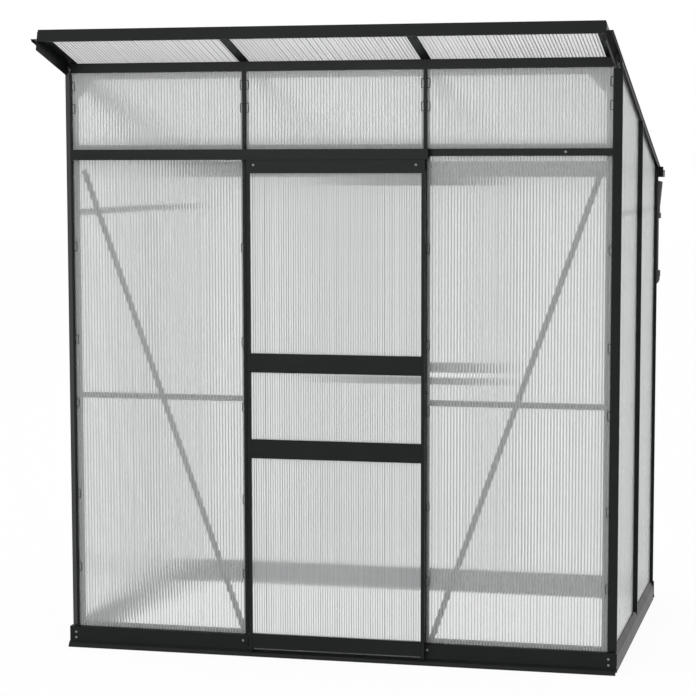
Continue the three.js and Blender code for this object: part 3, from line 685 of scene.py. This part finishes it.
bpy.ops.mesh.primitive_circle_add(
    vertices=wire_sides,
    radius=wire_radius,
    fill_type="NGON",
    location=(0, 0, clip_height / 2),
    rotation=(0, math.pi / 2, 0),
)
clip = bpy.context.object
bpy.ops.object.transform_apply(location=True, rotation=True, scale=True)
bpy.ops.object.mode_set(mode="EDIT")
bpy.ops.mesh.select_all(action="SELECT")
straight = clip_reach - clip_bend
bend_height = clip_height / 2 - clip_bend
quarter_turn = math.pi / 2
bpy.ops.mesh.extrude_region_move(TRANSFORM_OT_translate={"value": (straight, 0, 0)})
bpy.ops.mesh.spin(steps=bend_steps, angle=-quarter_turn, center=(straight, 0, bend_height), axis=(0, 1, 0))
bpy.ops.mesh.extrude_region_move(TRANSFORM_OT_translate={"value": (0, 0, -2 * bend_height)})
bpy.ops.mesh.spin(steps=bend_steps, angle=-quarter_turn, center=(straight, 0, -bend_height), axis=(0, 1, 0))
bpy.ops.mesh.extrude_region_move(TRANSFORM_OT_translate={"value": (-straight, 0, 0)})
bpy.ops.mesh.select_all(action="SELECT")
bpy.ops.mesh.remove_doubles(threshold=weld_distance)
bpy.ops.mesh.normals_make_consistent(inside=False)
bpy.ops.object.mode_set(mode="OBJECT")
clip.select_set(False)

# Each column of clips is a place along its wall, the way its loops point, and its heights. Each
# wall is its quarter turns, its middle and its columns.
post_edge = house_half - post_cap
side_edge = house_deep / 2 - post_cap
door_left = front_bar_shift - bar_place
door_right = front_bar_shift + bar_place
tall_clips = low_clips + top_clips
front_columns = (
    (-post_edge, 1, tall_clips),
    (door_left - bar_cap, -1, tall_clips),
    (door_left + bar_cap, 1, top_clips),
    (door_right - bar_cap, -1, top_clips),
    (door_right + bar_cap, 1, tall_clips),
    (post_edge, -1, tall_clips),
)
back_columns = (
    (-post_edge, 1, low_clips),
    (-bar_place - bar_cap, -1, low_clips),
    (-bar_place + bar_cap, 1, low_clips),
    (bar_place - bar_cap, -1, low_clips),
    (bar_place + bar_cap, 1, low_clips),
    (post_edge, -1, low_clips),
)
side_columns = (
    (-side_edge, 1, side_clips),
    (-bar_cap, -1, side_clips),
    (bar_cap, 1, side_clips),
    (side_edge, -1, side_clips),
)
walls = {
    "front": (0, Vector((0, 0, 0)), front_columns),
    "back": (2, Vector((0, house_deep, 0)), back_columns),
    "right": (1, Vector((house_half, house_deep / 2, 0)), side_columns),
    "left": (3, Vector((-house_half, house_deep / 2, 0)), side_columns),
}
for wall, (quarters, middle, columns) in walls.items():
    stand = Matrix.Translation(middle - Vector((0, origin_in, 0)))
    stand = stand @ Matrix.Rotation(quarters * quarter_turn, 4, "Z")
    copies = []
    for along, way, heights in columns:
        turn = Matrix.Rotation(0 if way > 0 else math.pi, 4, "Z")
        for height in heights:
            place = Matrix.Translation((along, clip_depth, height))
            copies.append(copied(clip, stand @ place @ turn))
    joined(copies, wall + "_wall_clips", spring_wire, "house")
bpy.data.objects.remove(clip)

# Screws: zinc-plated pan heads with a round socket. They hold the sills' ends, the door's head
# to its stiles, and the cross bar.
head_radius = 0.0046
head_rise = 0.0026
head_sides = 20
socket_in = 0.0003
socket_deep = 0.0013
sill_face = -0.006
cross_face = -0.0033
door_face = -0.03
zinc_grain = 1.11  # mm
# Each ring of the head climbs a share of its rise and keeps a share of the width below it.
ring_shares = ((0.45, 0.97), (0.3, 0.85), (0.2, 0.7), (0.05, 0.6))
house_screws = (
    (-0.9459, sill_face, 0.0511),
    (-0.9462, sill_face, 0.0316),
    (-0.3292, sill_face, 0.051),
    (0.3246, sill_face, 0.0509),
    (0.9434, sill_face, 0.0509),
    (0.944, sill_face, 0.0302),
    (0.7852, cross_face, 1.7416),
)
door_screws = ((-0.2754, door_face, 1.7), (0.2882, door_face, 1.7))

zinc = grained_material(
    "zinc-plated steel",
    dark="6a6d6f",
    pale="909395",
    grain=zinc_grain,
    roughness=(0.3, 0.5),
    settings={"Metallic": 0.8},
)

bpy.ops.mesh.primitive_circle_add(
    vertices=head_sides, radius=head_radius, fill_type="NGON", rotation=(math.pi / 2, 0, 0)
)
screw = bpy.context.object
bpy.ops.object.transform_apply(location=True, rotation=True, scale=True)
bpy.ops.object.mode_set(mode="EDIT")
bpy.ops.mesh.select_all(action="SELECT")
for rise, width in ring_shares:
    bpy.ops.mesh.extrude_region_move(TRANSFORM_OT_translate={"value": (0, -rise * head_rise, 0)})
    bpy.ops.transform.resize(value=(width, 1, width))
bpy.ops.mesh.inset(thickness=socket_in)
bpy.ops.mesh.extrude_region_move(TRANSFORM_OT_translate={"value": (0, socket_deep, 0)})
bpy.ops.mesh.select_all(action="SELECT")
bpy.ops.mesh.normals_make_consistent(inside=False)
bpy.ops.object.mode_set(mode="OBJECT")
screw.select_set(False)
for places, name, body in ((house_screws, "house_screws", "house"), (door_screws, "door_screws", "door")):
    copies = [copied(screw, Matrix.Translation((x, y - origin_in, z))) for x, y, z in places]
    joined(copies, name, zinc, body)
bpy.data.objects.remove(screw)

# Rollers: two nylon wheels turned on the door head's axles. They are dull dark grey, with a
# fine scuff from the track's lip.
scuff_grain = 1.43  # mm
wheel_round = 0.0006
nylon = grained_material(
    "turned nylon",
    dark="4a4d4e",
    pale="66696a",
    grain=scuff_grain,
    roughness=(0.4, 0.6),
    settings={"IOR": 1.53},
)
for name in roller_nodes:
    finish_piece(name, nylon, wheel_round)

# Rain pipe: funnel, pipe and shoe are moulded black PVC, pushed together. Moulding leaves a
# smooth satin skin with a faint flow mark.
flow_grain = 16.7  # mm, across the pipe
flow_stretch = (1, 1, 0.15)
pipe_round = 0.0005
rain_plastic = grained_material(
    "moulded PVC",
    dark="1d1f1f",
    pale="292b2b",
    grain=flow_grain,
    roughness=(0.35, 0.5),
    settings={"IOR": 1.54, "Specular IOR Level": 0.35},
    stretch=flow_stretch,
)
for name in rain_nodes:
    finish_piece(name, rain_plastic, pipe_round)
